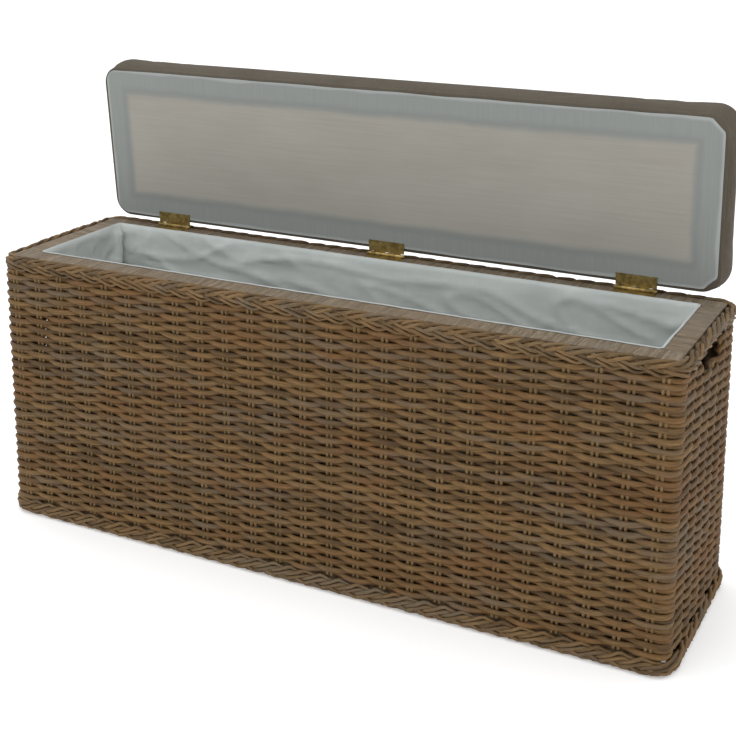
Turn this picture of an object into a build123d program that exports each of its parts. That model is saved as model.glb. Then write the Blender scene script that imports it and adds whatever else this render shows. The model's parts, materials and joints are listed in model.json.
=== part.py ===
from build123d import *
from math import cos, radians, sin
import os

# Woven rattan storage bench with a padded hinged lid, modelled with the lid open.
#
# Frame: origin on the floor at the centre of the basket, +X right, +Y to the back, +Z up,
# millimetres.

os.makedirs("parts", exist_ok=True)

# ---- driving dimensions -------------------------------------------------------------------
RIM_HEIGHT = 453.0  # top of the flat rim boards
TOP_WIDTH = 1140.0  # outside of the weave at rim height
TOP_DEPTH = 310.0
FLARE = 6.0  # each side stands this much further out at the floor
CORNER_RADIUS = 34.0
WEAVE_THICKNESS = 19.0

FOOT_HEIGHT = 26.0
FOOT_DEPTH = 25.5
BRAID_DROP = 22.0  # the top border hangs this far below the rim
BRAID_RISE = 3.0
BRAID_DEPTH = 16.0
EDGE_ROUND = 5.0

RIM_THICKNESS = 12.0
RIM_INNER_FRONT = 54.0  # from the outside of the weave to the liner
RIM_INNER_BACK = 46.0
RIM_INNER_END = 50.0

STAKE_RADIUS = 2.5
STAKE_PAIR_GAP = 7.0  # between the two stakes of a pair
STAKE_PITCH_LONG = 45.0
STAKE_PITCH_END = 44.0
COLUMNS_LONG = 25
COLUMNS_END = 6

HAND_HOLE_WIDTH = 108.0
HAND_HOLE_LOW = 402.0
HAND_HOLE_HIGH = 438.0
HAND_HOLE_RADIUS = 10.0

BATTEN = 22.0  # square section of the inner frame
FRAME_CLEAR = 0.5  # between the weave and the inner frame at the top
PANEL_THICKNESS = 6.0
CROSS_RAIL_PITCH = 265.0

LINER_THICKNESS = 1.2
LINER_RISE = 1.5

HINGE_CENTRES = (-417.0, 0.0, 417.0)
HINGE_LENGTH = 63.5
HINGE_LEAF = 22.0  # from the pin's axis to the edge of a leaf
LEAF_THICKNESS = 1.5
KNUCKLE_RADIUS = 3.25
KNUCKLE_CLEAR = 0.05  # between a knuckle and the board it lies on
KNUCKLES = 5
KNUCKLE_GAP = 0.3
PIN_RADIUS = 1.5
PIN_CLEARANCE = 0.05
PIN_HEAD_RADIUS = 2.7
PIN_HEAD_LENGTH = 1.2
SCREW_RADIUS = 1.5
SCREW_HEAD_RADIUS = 2.9
SCREW_LENGTH = 11.0
SCREW_SPACING = 22.0
SCREW_SETBACK = 13.5  # from the pin's axis

OPEN_ANGLE = 86.0  # between the closed lid and the lid as modelled
LID_WIDTH = 1084.0
LID_DEPTH = 268.0
LID_GAP = 8.0  # from the hinge axis to the lid's rear edge
LID_HEIGHT = 72.0
LID_CORNER = 30.0
LID_TOP_ROUND = 14.0
DUST_THICKNESS = 0.8
HEM_THICKNESS = 1.0
HEM_WIDTH = 28.0
COVER_THICKNESS = 1.5
LID_BOARD_THICKNESS = 12.0
DUST_INSET = 7.0
DUST_CORNER = 20.0

# ---- sizes worked out from them -----------------------------------------------------------
WEAVE_TOP = RIM_HEIGHT - BRAID_DROP
MITRE = (TOP_WIDTH - TOP_DEPTH) / 2  # the mitre planes are |x| = |y| + MITRE
FRAME_HALF_DEPTH = TOP_DEPTH / 2 - WEAVE_THICKNESS - FRAME_CLEAR
FRAME_HALF_WIDTH = TOP_WIDTH / 2 - WEAVE_THICKNESS - FRAME_CLEAR
RIM_BOTTOM = RIM_HEIGHT - RIM_THICKNESS
RIM_OUT_X = TOP_WIDTH / 2 - BRAID_DEPTH
RIM_OUT_Y = TOP_DEPTH / 2 - BRAID_DEPTH
WELL_FRONT = -TOP_DEPTH / 2 + RIM_INNER_FRONT
WELL_BACK = TOP_DEPTH / 2 - RIM_INNER_BACK
WELL_END = TOP_WIDTH / 2 - RIM_INNER_END
PANEL_BOTTOM = BATTEN
PANEL_TOP = PANEL_BOTTOM + PANEL_THICKNESS
HINGE_Y = WELL_BACK + HINGE_LEAF
HINGE_Z = RIM_HEIGHT + KNUCKLE_RADIUS + KNUCKLE_CLEAR
LEAF_DROP = HINGE_Z - RIM_HEIGHT  # from the pin's axis to the outer face of a leaf
SIDES = ("front", "back", "left", "right")


def spread(z):
    """How far the weave's outside lies beyond its size at rim height."""
    return FLARE * (1 - z / RIM_HEIGHT)


def save(part, name):
    part.label = name
    export_step(part, f"parts/{name}.step")


def box(x_range, y_range, z_range):
    """A plain rectangular block between two corners."""
    with BuildPart() as block:
        with BuildSketch(Plane.XY.offset(z_range[0])):
            with Locations((sum(x_range) / 2, sum(y_range) / 2)):
                Rectangle(x_range[1] - x_range[0], y_range[1] - y_range[0])
        extrude(amount=z_range[1] - z_range[0])
    return block.part


def side_wedge(side, z_low, z_high):
    """The space that belongs to one side of the basket, mitred at the corners."""
    reach = TOP_DEPTH
    if side in ("front", "back"):
        sign = -1 if side == "front" else 1
        corners = [(-MITRE, 0), (MITRE, 0), (MITRE + reach, sign * reach), (-MITRE - reach, sign * reach)]
    else:
        sign = -1 if side == "left" else 1
        corners = [(sign * MITRE, 0), (sign * (MITRE + reach), reach), (sign * (MITRE + reach), -reach)]
    with BuildPart() as wedge:
        with BuildSketch(Plane.XY.offset(z_low)):
            with BuildLine():
                Polyline(corners, close=True)
            make_face()
        extrude(amount=z_high - z_low)
    return wedge.part


def ring_side(side, z_low, z_high, depth, z_size_high, rounded=False):
    """One mitred side of a ring round the basket. The ring's upper face has the basket's size at
    z_size_high, so a ring with z_size_high equal to z_low has upright walls."""
    levels = ((z_low, spread(z_low)), (z_high, spread(z_size_high)))
    with BuildPart() as ring:
        for z, grow in levels:
            with BuildSketch(Plane.XY.offset(z)):
                RectangleRounded(TOP_WIDTH + 2 * grow, TOP_DEPTH + 2 * grow, CORNER_RADIUS)
        loft(ruled=True)
        if rounded:
            fillet(ring.edges().filter_by(Plane.XY), EDGE_ROUND)
        for z, grow in levels:
            with BuildSketch(Plane.XY.offset(z)):
                Rectangle(TOP_WIDTH + 2 * (grow - depth), TOP_DEPTH + 2 * (grow - depth))
        loft(ruled=True, mode=Mode.SUBTRACT)
        add(side_wedge(side, z_low, z_high), mode=Mode.INTERSECT)
    return ring.part


# ---- stakes and woven walls ---------------------------------------------------------------
def column_offsets(side):
    """Places of the stake pairs along one side."""
    if side in ("front", "back"):
        count, pitch = COLUMNS_LONG, STAKE_PITCH_LONG
    else:
        count, pitch = COLUMNS_END, STAKE_PITCH_END
    return [(i - (count - 1) / 2) * pitch for i in range(count)]


def stake_top(side, along):
    """Stakes under a hand hole stop at its lower edge."""
    in_hole = side in ("left", "right") and abs(along) < HAND_HOLE_WIDTH / 2
    return HAND_HOLE_LOW if in_hole else WEAVE_TOP


def stake_rods(side):
    """All the stakes of one side, each a slightly leaning rod."""
    middle = spread(FOOT_HEIGHT) - WEAVE_THICKNESS / 2
    out_x = TOP_WIDTH / 2 + middle
    out_y = TOP_DEPTH / 2 + middle
    sign = -1 if side in ("front", "left") else 1
    runs_in_x = side in ("front", "back")
    lean = (0, -sign * FLARE, RIM_HEIGHT) if runs_in_x else (-sign * FLARE, 0, RIM_HEIGHT)
    slant = Vector(lean).length / RIM_HEIGHT
    with BuildPart() as rods:
        for along in column_offsets(side):
            for step in (-STAKE_PAIR_GAP / 2, STAKE_PAIR_GAP / 2):
                place = along + step
                spot = (place, sign * out_y) if runs_in_x else (sign * out_x, place)
                with BuildSketch(Plane.XY.offset(FOOT_HEIGHT)):
                    with Locations(spot):
                        Circle(STAKE_RADIUS)
                extrude(amount=(stake_top(side, along) - FOOT_HEIGHT) * slant, dir=lean)
    return rods.part


def hand_hole(side):
    """The hand hole in an end wall. It takes a bite out of the top border above it."""
    sign = -1 if side == "left" else 1
    with BuildPart() as hole:
        with BuildSketch(Plane.YZ.offset(sign * TOP_WIDTH / 2)):
            with Locations((0, (HAND_HOLE_LOW + HAND_HOLE_HIGH) / 2)):
                RectangleRounded(HAND_HOLE_WIDTH, HAND_HOLE_HIGH - HAND_HOLE_LOW, HAND_HOLE_RADIUS)
        extrude(amount=2 * WEAVE_THICKNESS, both=True)
    return hole.part


for side in SIDES:
    stakes = stake_rods(side)
    with BuildPart() as weave:
        add(ring_side(side, FOOT_HEIGHT, WEAVE_TOP, WEAVE_THICKNESS, WEAVE_TOP))
        add(stakes, mode=Mode.SUBTRACT)
        if side in ("left", "right"):
            add(hand_hole(side), mode=Mode.SUBTRACT)
    with BuildPart() as border:
        add(ring_side(side, WEAVE_TOP, RIM_HEIGHT + BRAID_RISE, BRAID_DEPTH, WEAVE_TOP, rounded=True))
        if side in ("left", "right"):
            add(hand_hole(side), mode=Mode.SUBTRACT)
    save(weave.part, f"weave_{side}")
    save(stakes, f"stakes_{side}")
    foot = ring_side(side, 0.0, FOOT_HEIGHT, FOOT_DEPTH, 0.0, rounded=True)
    save(foot, f"foot_border_{side}")
    save(border.part, f"top_border_{side}")

# ---- inner frame --------------------------------------------------------------------------
post_in_x = FRAME_HALF_WIDTH - BATTEN
post_in_y = FRAME_HALF_DEPTH - BATTEN
post_height = (0.0, RIM_BOTTOM)
rail_low = (0.0, PANEL_BOTTOM)
rail_high = (RIM_BOTTOM - BATTEN, RIM_BOTTOM)
half = BATTEN / 2

for name_x, sign_x in (("left", -1), ("right", 1)):
    post_x = sorted((sign_x * post_in_x, sign_x * FRAME_HALF_WIDTH))
    save(box(post_x, (-post_in_y, post_in_y), rail_low), f"bottom_rail_{name_x}")
    for name_y, sign_y in (("front", -1), ("back", 1)):
        post_y = sorted((sign_y * post_in_y, sign_y * FRAME_HALF_DEPTH))
        save(box(post_x, post_y, post_height), f"corner_post_{name_y}_{name_x}")

for name, place in (("left", -1), ("centre", 0), ("right", 1)):
    cross_x = (place * CROSS_RAIL_PITCH - half, place * CROSS_RAIL_PITCH + half)
    save(box(cross_x, (-post_in_y, post_in_y), rail_low), f"cross_rail_{name}")

for name_y, sign_y in (("front", -1), ("back", 1)):
    rail_y = sorted((sign_y * post_in_y, sign_y * FRAME_HALF_DEPTH))
    save(box((-post_in_x, post_in_x), rail_y, rail_low), f"bottom_rail_{name_y}")
    save(box((-post_in_x, post_in_x), rail_y, rail_high), f"top_rail_{name_y}")
    save(box((-half, half), rail_y, (PANEL_TOP, rail_high[0])), f"centre_post_{name_y}")

with BuildPart() as base_panel:
    with BuildSketch(Plane.XY.offset(PANEL_BOTTOM)):
        Rectangle(2 * FRAME_HALF_WIDTH, 2 * FRAME_HALF_DEPTH)
        with GridLocations(post_in_x + FRAME_HALF_WIDTH, post_in_y + FRAME_HALF_DEPTH, 2, 2):
            Rectangle(BATTEN, BATTEN, mode=Mode.SUBTRACT)
    extrude(amount=PANEL_THICKNESS)
save(base_panel.part, "base_panel")


# ---- screws -------------------------------------------------------------------------------
def screw_places(x_centre):
    """Three screws along a hinge leaf, from the pin's axis towards the leaf's edge."""
    return [(x_centre + step * SCREW_SPACING, SCREW_SETBACK) for step in (-1, 0, 1)]


def screws(face, depth_sign, grow=0.0):
    """Countersunk screws whose heads are flush with the leaves' seen faces.

    face is the plane of the leaves' seen faces with +Z out of the leaf, and depth_sign turns
    the setback along the face's +Y.
    """
    with BuildPart() as group:
        for centre in HINGE_CENTRES:
            for x, setback in screw_places(centre):
                spot = (x, depth_sign * setback)
                with BuildSketch(face):
                    with Locations(spot):
                        Circle(SCREW_HEAD_RADIUS + grow)
                with BuildSketch(face.offset(-LEAF_THICKNESS)):
                    with Locations(spot):
                        Circle(SCREW_RADIUS + grow)
                loft()
                with BuildSketch(face.offset(-LEAF_THICKNESS)):
                    with Locations(spot):
                        Circle(SCREW_RADIUS + grow)
                extrude(amount=LEAF_THICKNESS - SCREW_LENGTH)
    return group.part


# ---- planes of the lid --------------------------------------------------------------------
angle = radians(OPEN_ANGLE)
hinge_point = (0, HINGE_Y, HINGE_Z)
# local +Y runs to the closed lid's rear edge and local +Z up through its thickness
lid_plane = Plane(origin=hinge_point, x_dir=(1, 0, 0), z_dir=(0, sin(angle), cos(angle)))
lid_underside = lid_plane.offset(LEAF_DROP)
lid_centre_y = -(LID_GAP + LID_DEPTH / 2)

base_leaf_face = Plane(origin=(0, HINGE_Y, RIM_HEIGHT + LEAF_THICKNESS))
# seen from below, so +Z points out of the lid and +Y to its front edge
lid_leaf_face = Plane(
    origin=lid_plane.offset(LEAF_DROP - LEAF_THICKNESS).origin,
    x_dir=(1, 0, 0),
    z_dir=tuple(-lid_plane.z_dir),
)
base_screws = screws(base_leaf_face, -1)
lid_screws = screws(lid_leaf_face, 1)
save(base_screws, "hinge_screws_rim")
save(lid_screws, "hinge_screws_lid")

# ---- flat rim -----------------------------------------------------------------------------
rim_z = (RIM_BOTTOM, RIM_HEIGHT)
save(box((-RIM_OUT_X, RIM_OUT_X), (-RIM_OUT_Y, WELL_FRONT), rim_z), "rim_board_front")
with BuildPart() as rim_board_back:
    add(box((-RIM_OUT_X, RIM_OUT_X), (WELL_BACK, RIM_OUT_Y), rim_z))
    add(base_screws, mode=Mode.SUBTRACT)
save(rim_board_back.part, "rim_board_back")
save(box((-RIM_OUT_X, -WELL_END), (WELL_FRONT, WELL_BACK), rim_z), "rim_board_left")
save(box((WELL_END, RIM_OUT_X), (WELL_FRONT, WELL_BACK), rim_z), "rim_board_right")

# ---- fabric liner -------------------------------------------------------------------------
well_x = (-WELL_END, WELL_END)
well_y = (WELL_FRONT, WELL_BACK)
liner_z = (PANEL_TOP, RIM_HEIGHT + LINER_RISE)
skin = LINER_THICKNESS
inner_y = (well_y[0] + skin, well_y[1] - skin)
inner_x = (well_x[0] + skin, well_x[1] - skin)
save(box(well_x, (well_y[0], inner_y[0]), liner_z), "liner_front")
save(box(well_x, (inner_y[1], well_y[1]), liner_z), "liner_back")
save(box((well_x[0], inner_x[0]), inner_y, liner_z), "liner_left")
save(box((inner_x[1], well_x[1]), inner_y, liner_z), "liner_right")
save(box(inner_x, inner_y, (PANEL_TOP, PANEL_TOP + skin)), "liner_bottom")


# ---- hinges -------------------------------------------------------------------------------
def knuckle_spans(centre, own):
    """X ranges of one leaf's knuckles: own is 0 for the base leaf and 1 for the lid leaf."""
    step = HINGE_LENGTH / KNUCKLES
    start = centre - HINGE_LENGTH / 2
    spans = []
    for i in range(own, KNUCKLES, 2):
        low = start + i * step + (KNUCKLE_GAP / 2 if i else 0)
        high = start + (i + 1) * step - (KNUCKLE_GAP / 2 if i < KNUCKLES - 1 else 0)
        spans.append((low, high))
    return spans


def hinge_leaf(frame, centre, own, side_sign, bore):
    """A leaf with its knuckles. frame sits on the pin's axis with the leaf's seen face at local
    +Z = LEAF_THICKNESS - LEAF_DROP, and side_sign is the way the plate runs along local Y."""
    plate = frame.offset(-LEAF_DROP)
    plate_start = KNUCKLE_RADIUS + KNUCKLE_GAP
    with BuildPart() as leaf:
        with BuildSketch(plate):
            with Locations((centre, side_sign * (plate_start + HINGE_LEAF) / 2)):
                Rectangle(HINGE_LENGTH, HINGE_LEAF - plate_start)
            for low, high in knuckle_spans(centre, own):
                with Locations(((low + high) / 2, side_sign * plate_start / 2)):
                    Rectangle(high - low, plate_start)
        extrude(amount=LEAF_THICKNESS)
        for low, high in knuckle_spans(centre, own):
            axle = Plane(origin=frame.from_local_coords((low, 0, 0)), z_dir=(1, 0, 0))
            with BuildSketch(axle):
                Circle(KNUCKLE_RADIUS)
            extrude(amount=high - low)
        drill = Plane(origin=frame.from_local_coords((centre, 0, 0)), z_dir=(1, 0, 0))
        with BuildSketch(drill):
            Circle(bore)
        extrude(amount=HINGE_LENGTH, both=True, mode=Mode.SUBTRACT)
    return leaf.part


base_frame = Plane(origin=hinge_point)
lid_frame = Plane(origin=hinge_point, x_dir=(1, 0, 0), z_dir=tuple(-lid_plane.z_dir))
for name, centre in zip(("left", "centre", "right"), HINGE_CENTRES):
    with BuildPart() as base_leaf:
        add(hinge_leaf(base_frame, centre, 0, -1, PIN_RADIUS))
        add(base_screws, mode=Mode.SUBTRACT)
    save(base_leaf.part, f"hinge_{name}_base_leaf")
    with BuildPart() as lid_leaf:
        add(hinge_leaf(lid_frame, centre, 1, 1, PIN_RADIUS + PIN_CLEARANCE))
        add(lid_screws, mode=Mode.SUBTRACT)
    save(lid_leaf.part, f"hinge_{name}_lid_leaf")
    with BuildPart() as pin:
        pin_end = Plane(origin=(centre - HINGE_LENGTH / 2, HINGE_Y, HINGE_Z), z_dir=(1, 0, 0))
        with BuildSketch(pin_end):
            Circle(PIN_RADIUS)
        extrude(amount=HINGE_LENGTH)
        for face in (pin_end.offset(-PIN_HEAD_LENGTH), pin_end.offset(HINGE_LENGTH)):
            with BuildSketch(face):
                Circle(PIN_HEAD_RADIUS)
            extrude(amount=PIN_HEAD_LENGTH)
    save(pin.part, f"hinge_{name}_pin")


# ---- lid ----------------------------------------------------------------------------------
def lid_block(low, high, inset, radius):
    """A slab of the lid between two heights above its underside."""
    with BuildPart() as slab:
        with BuildSketch(lid_underside.offset(low)):
            with Locations((0, lid_centre_y)):
                RectangleRounded(LID_WIDTH - 2 * inset, LID_DEPTH - 2 * inset, radius)
        extrude(amount=high - low)
    return slab.part


hem_low = DUST_THICKNESS
board_low = hem_low + HEM_THICKNESS
board_high = board_low + LID_BOARD_THICKNESS
foam_high = LID_HEIGHT - COVER_THICKNESS
inner_corner = LID_CORNER - COVER_THICKNESS
lid_up = Axis((0, 0, 0), tuple(lid_plane.z_dir))

with BuildPart() as dust_cover:
    with BuildSketch(lid_underside) as dust_outline:
        with Locations((0, lid_centre_y)):
            Rectangle(LID_WIDTH - 2 * DUST_INSET, LID_DEPTH - 2 * DUST_INSET)
        chamfer(dust_outline.vertices(), DUST_CORNER)
    extrude(amount=DUST_THICKNESS)
    add(lid_screws, mode=Mode.SUBTRACT)
save(dust_cover.part, "dust_cover")

with BuildPart() as lid_board:
    add(lid_block(board_low, board_high, COVER_THICKNESS, inner_corner))
    add(lid_screws, mode=Mode.SUBTRACT)
save(lid_board.part, "lid_board")

with BuildPart() as foam_pad:
    add(lid_block(board_high, foam_high, COVER_THICKNESS, inner_corner))
    fillet(foam_pad.faces().sort_by(lid_up)[-1].edges(), LID_TOP_ROUND - COVER_THICKNESS)
save(foam_pad.part, "foam_pad")

with BuildPart() as seat_cover:
    add(lid_block(hem_low, LID_HEIGHT, 0, LID_CORNER))
    fillet(seat_cover.faces().sort_by(lid_up)[-1].edges(), LID_TOP_ROUND)
    add(lid_block(board_low, board_high, COVER_THICKNESS, inner_corner), mode=Mode.SUBTRACT)
    add(foam_pad.part, mode=Mode.SUBTRACT)
    add(lid_block(hem_low, board_low, HEM_WIDTH, LID_CORNER), mode=Mode.SUBTRACT)
    add(lid_screws, mode=Mode.SUBTRACT)
save(seat_cover.part, "seat_cover")
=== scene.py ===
import json
import math

import bmesh
import bpy
import numpy as np
from mathutils import Matrix, Vector, noise


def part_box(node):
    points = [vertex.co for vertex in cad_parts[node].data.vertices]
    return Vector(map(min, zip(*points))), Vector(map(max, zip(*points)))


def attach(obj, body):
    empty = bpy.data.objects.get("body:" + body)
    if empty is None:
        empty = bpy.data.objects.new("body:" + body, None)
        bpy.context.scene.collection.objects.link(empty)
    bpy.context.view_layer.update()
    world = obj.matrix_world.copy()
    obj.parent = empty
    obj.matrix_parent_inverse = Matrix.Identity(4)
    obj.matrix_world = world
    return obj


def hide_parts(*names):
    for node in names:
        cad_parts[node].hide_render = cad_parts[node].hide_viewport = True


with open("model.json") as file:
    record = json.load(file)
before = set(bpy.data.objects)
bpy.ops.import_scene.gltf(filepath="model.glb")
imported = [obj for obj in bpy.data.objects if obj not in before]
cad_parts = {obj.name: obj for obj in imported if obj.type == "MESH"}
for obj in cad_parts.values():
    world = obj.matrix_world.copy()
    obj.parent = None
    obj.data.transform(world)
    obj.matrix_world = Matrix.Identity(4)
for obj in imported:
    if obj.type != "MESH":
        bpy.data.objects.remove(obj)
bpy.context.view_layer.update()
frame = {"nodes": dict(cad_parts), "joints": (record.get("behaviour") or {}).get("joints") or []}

nodes = frame["nodes"]
random = np.random.default_rng(31)

# Everything below is in metres, in the CAD frame: +X right, +Y to the back, +Z up, origin on the
# floor under the middle of the basket.

# ---- sizes ----
CORNER_RADIUS = 0.034  # of the basket's outside
WALL_MIDDLE = 0.0095  # depth of the stakes below the outside
COLUMN_STEPS = 8  # points along a weaver from one stake pair to the next
END_EXTRA_STEPS = 2  # more of them at each end of the basket, whose share of the corners is longer
OVERLAP = 3  # points by which a line runs on past its start and end while its rings are made
ROD_SIDES = 8
ROWS = 54
BULGE_RADIUS = 0.0046  # of a weaver, upright, where it passes a stake pair
BACK_RADIUS = 0.0060  # where it passes behind one
CROSSING_RADIUS = 0.0043  # and where it crosses the rows above and below
WEAVER_FLATNESS = 0.82
CORNER_PUSH = 0.0048  # how much fuller the weave is on the corners
WEAVER_SWING = 0.0048  # how far a weaver's middle goes in front of the stakes and behind them

PLAIT_STRANDS = 5
PLAIT_TURNS = 19  # of one strand round the basket
PLAIT_ROD = 0.0028
PLAIT_LIFT = 0.0023
FOOT_PROUD = 0.003  # how far the foot's plait stands out of the weave

CANE_WIDTH = 0.0042
CANE_CROWN = 0.0005

HOLE_BOTTOM = 0.402  # of the hand holes in the ends
HOLE_TOP = 0.438
HOLE_HALF = 0.054  # half a hand hole's width
HOLE_FADE = 0.022  # along which the top plait narrows beside it
NOSE_REACH = 0.0078  # how far a weaver that turns back goes past the last stake pair

HEM_WIDTH = 0.0018  # of the liner, on the rim
END_SLUMP = 0.008  # how far the bag's right end leans in below its hem
BAG_TURN = 0.006  # radius between the bag's walls and its bottom
BAG_LIFT = 0.0012  # of the bag's bottom over its CAD solid's underside

OPEN_ANGLE = math.radians(86)  # between level and the lid at rest
LEAF_DROP = 0.0033  # from the hinge pins' axis to the lid's underside
LID_GAP = 0.008  # from the hinge pins' axis to the lid's near edge
LID_WIDTH = 1.084
LID_DEPTH = 0.268
LID_HEIGHT = 0.072
LID_MIDDLE = LID_GAP + LID_DEPTH / 2
LID_CORNER = 0.030
BOARD_TOP = 0.0145  # a little over the board, above the lid's underside
DRAWN_IN_KEPT = 0.15  # share of the simulated cloth's inward movement that stays
SWELL_CAP = 0.005  # the furthest that the simulated cloth moves
COVER_INSET = 0.005  # from the lid's outline to the dust cover
COVER_CUT = 0.020  # size of the dust cover's cut and rounded corners

FLOOR_GLOW = 0.22  # lights up the floor's shadow, so that the floor is as white as the backdrop

CAMERA_PLACE = (0.93549, -1.77146, 1.05939)
CAMERA_AZIMUTH = 0.47085  # radians, from the front towards the right end
CAMERA_ELEVATION = 0.27952
CAMERA_LENS = 65.99  # millimetres
CAMERA_SHIFT = -0.1495


# ---- node graphs ----
class Graph:
    """A material's nodes, with a short call for each kind that this script uses."""

    def __init__(self, name):
        self.material = bpy.data.materials.new(name)
        self.material.use_nodes = True
        self.tree = self.material.node_tree
        self.shader = self.tree.nodes["Principled BSDF"]

    def put(self, value, socket):
        if isinstance(value, bpy.types.NodeSocket):
            self.tree.links.new(value, socket)
        elif value is not None:
            socket.default_value = value

    def node(self, kind, **inputs):
        """A new node, with its inputs linked or set to numbers."""
        made = self.tree.nodes.new(kind)
        for name, value in inputs.items():
            self.put(value, made.inputs[name])
        return made

    def attribute(self, name):
        node = self.node("ShaderNodeAttribute")
        node.attribute_name = name
        return node.outputs["Vector"]

    def place(self):
        return self.node("ShaderNodeTexCoord").outputs["Object"]

    def stretch(self, vector, scale, turn=(0, 0, 0)):
        return self.node("ShaderNodeMapping", Vector=vector, Scale=scale, Rotation=turn).outputs["Vector"]

    def part(self, vector, axis):
        return self.node("ShaderNodeSeparateXYZ", Vector=vector).outputs[axis]

    def noise(self, vector, scale, detail=3.0, rough=0.55, turn=(0, 0, 0)):
        """Noise with a scale of its own along each axis."""
        where = self.stretch(vector, scale, turn)
        node = self.node("ShaderNodeTexNoise", Vector=where, Scale=1.0, Detail=detail, Roughness=rough)
        return node.outputs["Fac"]

    def wave(self, vector, axis, scale, twist):
        node = self.node("ShaderNodeTexWave", Vector=vector, Scale=scale, Distortion=twist, Detail=1.0)
        node.bands_direction = axis
        return node.outputs["Fac"]

    def math(self, kind, a, b):
        node = self.node("ShaderNodeMath")
        node.operation = kind
        self.put(a, node.inputs[0])
        self.put(b, node.inputs[1])
        return node.outputs[0]

    def total(self, *terms):
        """The sum of values, each with its own share."""
        level, *others = (self.math("MULTIPLY", value, share) for value, share in terms)
        for other in others:
            level = self.math("ADD", level, other)
        return level

    def span(self, value, low, high, to_low=0.0, to_high=1.0):
        node = self.node("ShaderNodeMapRange")
        node.interpolation_type = "SMOOTHSTEP"
        for socket, number in zip(node.inputs, (value, low, high, to_low, to_high)):
            self.put(number, socket)
        return node.outputs[0]

    def ramp(self, value, stops):
        node = self.node("ShaderNodeValToRGB", Fac=value)
        band = node.color_ramp
        while len(band.elements) < len(stops):
            band.elements.new(0.5)
        for element, (at, colour) in zip(band.elements, stops):
            element.position = at
            element.color = (*colour, 1)
        return node.outputs[0]

    def mix(self, share, a, b):
        node = self.node("ShaderNodeMix")
        node.data_type = "RGBA"
        self.put(share, node.inputs["Factor"])
        for value, label in ((a, "A"), (b, "B")):
            socket = [s for s in node.inputs if s.name == label and s.type == "RGBA"][0]
            self.put(value if isinstance(value, bpy.types.NodeSocket) else (*value, 1), socket)
        return [s for s in node.outputs if s.type == "RGBA"][0]

    def bump(self, height, strength, distance, under=None):
        node = self.node("ShaderNodeBump", Strength=strength, Distance=distance, Height=height, Normal=under)
        return node.outputs[0]

    def finish(self, colour, roughness, normal=None, specular=0.3, metallic=0.0):
        self.put(colour, self.shader.inputs["Base Color"])
        self.put(roughness, self.shader.inputs["Roughness"])
        self.put(normal, self.shader.inputs["Normal"])
        self.shader.inputs["Specular IOR Level"].default_value = specular
        self.shader.inputs["Metallic"].default_value = metallic
        return self.material


def rattan(name, dark, light, warm, grey):
    """Round rattan: long fibres, broad warm and weathered grey patches, a slight tone for each rod."""
    g = Graph(name)
    fibre = g.attribute("fibre")
    shade = g.attribute("shade")
    streaks = g.noise(fibre, (14, 420, 420), 4.0, 0.6)
    fine = g.noise(fibre, (60, 1500, 1500), 3.0, 0.6)
    mottle = g.noise(fibre, (45, 45, 45), 3.0, 0.6)
    level = g.total((streaks, 0.8), (fine, 0.5), (g.part(shade, 0), 0.3), (mottle, 0.3))
    base = g.mix(g.span(level, 0.68, 1.18), dark, light)
    patch = g.noise(g.place(), (6.0, 6.0, 13.0), 3.0, 0.6)
    warmth = g.total((patch, 1), (g.part(shade, 1), 0.22))
    base = g.mix(g.span(warmth, 0.55, 0.82, 0.0, 0.7), base, warm)
    old = g.noise(g.place(), (5.5, 5.5, 24.0), 3.0, 0.6, (0.1, 0.2, 0.7))
    age = g.total((old, 1), (g.part(shade, 2), 0.22))
    base = g.mix(g.span(age, 0.58, 0.85, 0.0, 0.75), base, grey)
    base = g.mix(g.span(fine, 0.35, 0.62, 0.6, 0.0), base, dark)
    normal = g.bump(g.math("ADD", streaks, fine), 0.5, 0.0007)
    rough = g.span(streaks, 0.3, 0.7, 0.58, 0.75)
    return g.finish(base, rough, normal, 0.28)


WEAVE = rattan(
    "woven_rattan", dark=(0.058, 0.031, 0.010), light=(0.210, 0.120, 0.043),
    warm=(0.174, 0.080, 0.024), grey=(0.145, 0.106, 0.067),
)
PLAIT = rattan(
    "border_rattan", dark=(0.054, 0.032, 0.012), light=(0.228, 0.140, 0.060),
    warm=(0.182, 0.098, 0.036), grey=(0.160, 0.122, 0.080),
)
CANE = rattan(
    "bound_rim", dark=(0.086, 0.062, 0.038), light=(0.280, 0.220, 0.152),
    warm=(0.220, 0.156, 0.097), grey=(0.202, 0.171, 0.131),
)


def rods_material():
    g = Graph("rattan_rods")
    place = g.place()
    streaks = g.noise(place, (700, 700, 18), 3.0)
    blotch = g.noise(place, (22, 22, 30), 3.0)
    level = g.total((streaks, 0.5), (blotch, 0.5))
    stops = [(0.3, (0.10, 0.062, 0.025)), (0.55, (0.22, 0.138, 0.060)), (0.75, (0.30, 0.20, 0.10))]
    colour = g.ramp(level, stops)
    return g.finish(colour, 0.7, g.bump(streaks, 0.4, 0.0005), 0.25)


def timber_material(name, dark, light, scale):
    g = Graph(name)
    place = g.place()
    rings = g.wave(g.stretch(place, scale), "X", 1.0, 6.0)
    grain = g.noise(place, tuple(9 * s for s in scale), 4.0, 0.6)
    level = g.total((rings, 0.5), (grain, 0.5))
    colour = g.mix(g.span(level, 0.2, 0.8), dark, light)
    return g.finish(colour, 0.75, g.bump(grain, 0.3, 0.0005), 0.2)


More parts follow.
